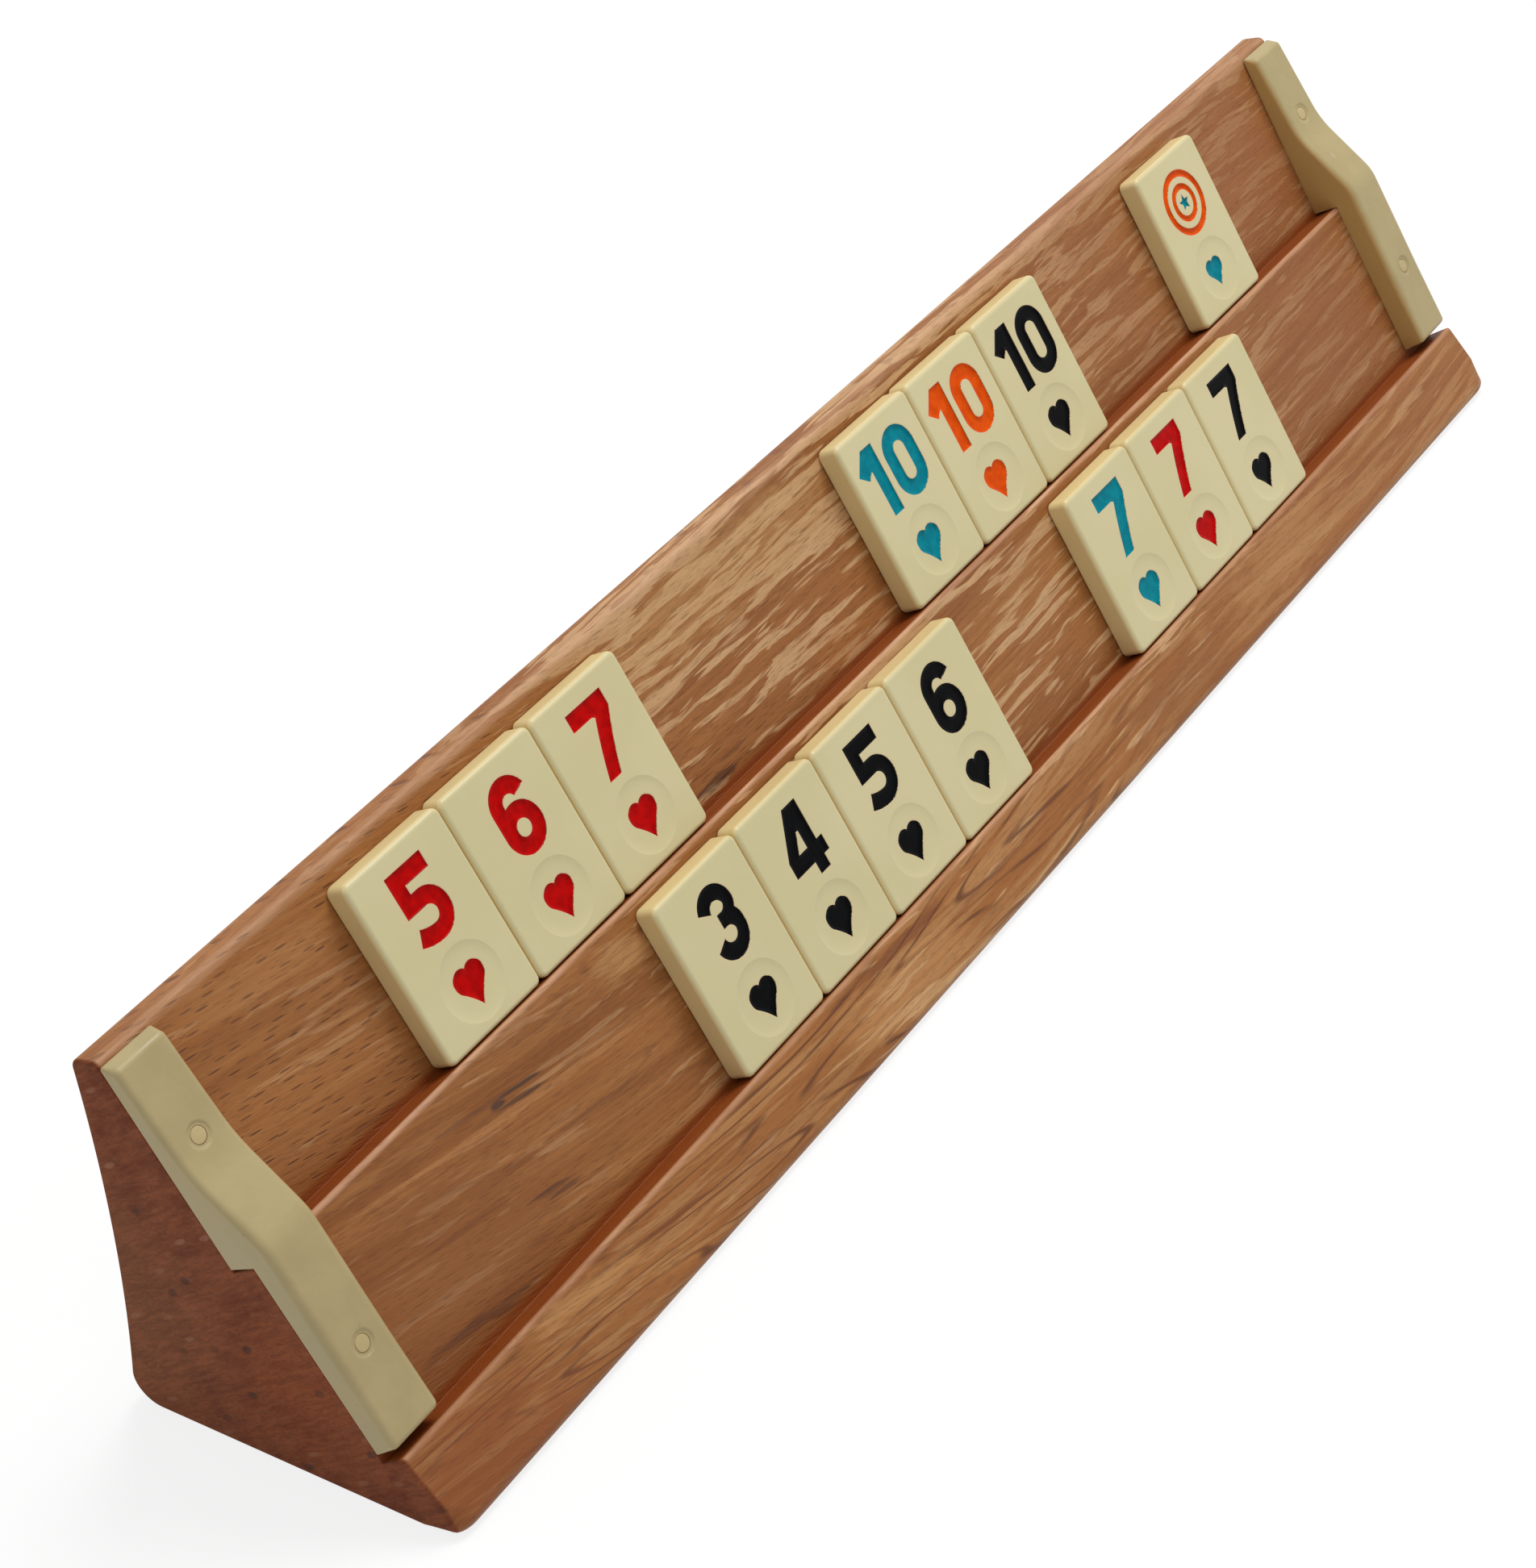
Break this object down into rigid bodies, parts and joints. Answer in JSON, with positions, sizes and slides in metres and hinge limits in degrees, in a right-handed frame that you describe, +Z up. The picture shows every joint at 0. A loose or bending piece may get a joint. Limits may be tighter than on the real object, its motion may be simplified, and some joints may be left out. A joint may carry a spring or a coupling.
{
  "type": "tile rack",
  "caption": "Two-tier slanted wooden tile rack with plastic end stops, holding loose engraved ivory numeral tiles that lift off.",
  "frame": {"origin": "middle of the flat base, on the surface the rack stands on", "axes": "+X along the rack, to the player's right; -Y towards the player; +Z up"},
  "size_m": [0.453, 0.0819, 0.0937],
  "materials": {
    "stained_wood": "red-brown stained hardwood, satin, open pores",
    "stop_plastic": "dull moulded ivory plastic",
    "tile_plastic": "smooth ivory plastic",
    "red_enamel": "glossy fill",
    "teal_enamel": "glossy fill",
    "orange_enamel": "glossy fill",
    "black_enamel": "glossy fill"
  },
  "bodies": {
    "rack": {"rack_body": "stained_wood", "left_end_stop": "stop_plastic", "left_lower_peg": "stop_plastic", "left_upper_peg": "stop_plastic", "right_end_stop": "stop_plastic", "right_lower_peg": "stop_plastic", "right_upper_peg": "stop_plastic"},
    "lower_tile_black_3_body": {"lower_tile_black_3": "tile_plastic", "lower_enamel_black_3": "black_enamel"},
    "lower_tile_black_4_body": {"lower_tile_black_4": "tile_plastic", "lower_enamel_black_4": "black_enamel"},
    "lower_tile_black_5_body": {"lower_tile_black_5": "tile_plastic", "lower_enamel_black_5": "black_enamel"},
    "lower_tile_black_6_body": {"lower_tile_black_6": "tile_plastic", "lower_enamel_black_6": "black_enamel"},
    "lower_tile_black_7_body": {"lower_tile_black_7": "tile_plastic", "lower_enamel_black_7": "black_enamel"},
    "lower_tile_red_7_body": {"lower_tile_red_7": "tile_plastic", "lower_enamel_red_7": "red_enamel"},
    "lower_tile_teal_7_body": {"lower_tile_teal_7": "tile_plastic", "lower_enamel_teal_7": "teal_enamel"},
    "upper_tile_black_10_body": {"upper_tile_black_10": "tile_plastic", "upper_enamel_black_10": "black_enamel"},
    "upper_tile_joker_body": {"upper_tile_joker": "tile_plastic", "upper_enamel_joker_rings": "orange_enamel", "upper_enamel_joker_star": "teal_enamel"},
    "upper_tile_orange_10_body": {"upper_tile_orange_10": "tile_plastic", "upper_enamel_orange_10": "orange_enamel"},
    "upper_tile_red_5_body": {"upper_tile_red_5": "tile_plastic", "upper_enamel_red_5": "red_enamel"},
    "upper_tile_red_6_body": {"upper_tile_red_6": "tile_plastic", "upper_enamel_red_6": "red_enamel"},
    "upper_tile_red_7_body": {"upper_tile_red_7": "tile_plastic", "upper_enamel_red_7": "red_enamel"},
    "upper_tile_teal_10_body": {"upper_tile_teal_10": "tile_plastic", "upper_enamel_teal_10": "teal_enamel"}
  },
  "joints": [
    {"name": "lower_tile_black_3_lift", "type": "slide", "parent": "rack", "child": "lower_tile_black_3_body", "axis": [0, 0, 1], "range_m": [0, 0.085]},
    {"name": "lower_tile_black_4_lift", "type": "slide", "parent": "rack", "child": "lower_tile_black_4_body", "axis": [0, 0, 1], "range_m": [0, 0.085]},
    {"name": "lower_tile_black_5_lift", "type": "slide", "parent": "rack", "child": "lower_tile_black_5_body", "axis": [0, 0, 1], "range_m": [0, 0.085]},
    {"name": "lower_tile_black_6_lift", "type": "slide", "parent": "rack", "child": "lower_tile_black_6_body", "axis": [0, 0, 1], "range_m": [0, 0.085]},
    {"name": "lower_tile_black_7_lift", "type": "slide", "parent": "rack", "child": "lower_tile_black_7_body", "axis": [0, 0, 1], "range_m": [0, 0.085]},
    {"name": "lower_tile_red_7_lift", "type": "slide", "parent": "rack", "child": "lower_tile_red_7_body", "axis": [0, 0, 1], "range_m": [0, 0.085]},
    {"name": "lower_tile_teal_7_lift", "type": "slide", "parent": "rack", "child": "lower_tile_teal_7_body", "axis": [0, 0, 1], "range_m": [0, 0.085]},
    {"name": "upper_tile_black_10_lift", "type": "slide", "parent": "rack", "child": "upper_tile_black_10_body", "axis": [0, 0, 1], "range_m": [0, 0.05]},
    {"name": "upper_tile_joker_lift", "type": "slide", "parent": "rack", "child": "upper_tile_joker_body", "axis": [0, 0, 1], "range_m": [0, 0.05]},
    {"name": "upper_tile_orange_10_lift", "type": "slide", "parent": "rack", "child": "upper_tile_orange_10_body", "axis": [0, 0, 1], "range_m": [0, 0.05]},
    {"name": "upper_tile_red_5_lift", "type": "slide", "parent": "rack", "child": "upper_tile_red_5_body", "axis": [0, 0, 1], "range_m": [0, 0.05]},
    {"name": "upper_tile_red_6_lift", "type": "slide", "parent": "rack", "child": "upper_tile_red_6_body", "axis": [0, 0, 1], "range_m": [0, 0.05]},
    {"name": "upper_tile_red_7_lift", "type": "slide", "parent": "rack", "child": "upper_tile_red_7_body", "axis": [0, 0, 1], "range_m": [0, 0.05]},
    {"name": "upper_tile_teal_10_lift", "type": "slide", "parent": "rack", "child": "upper_tile_teal_10_body", "axis": [0, 0, 1], "range_m": [0, 0.05]}
  ]
}
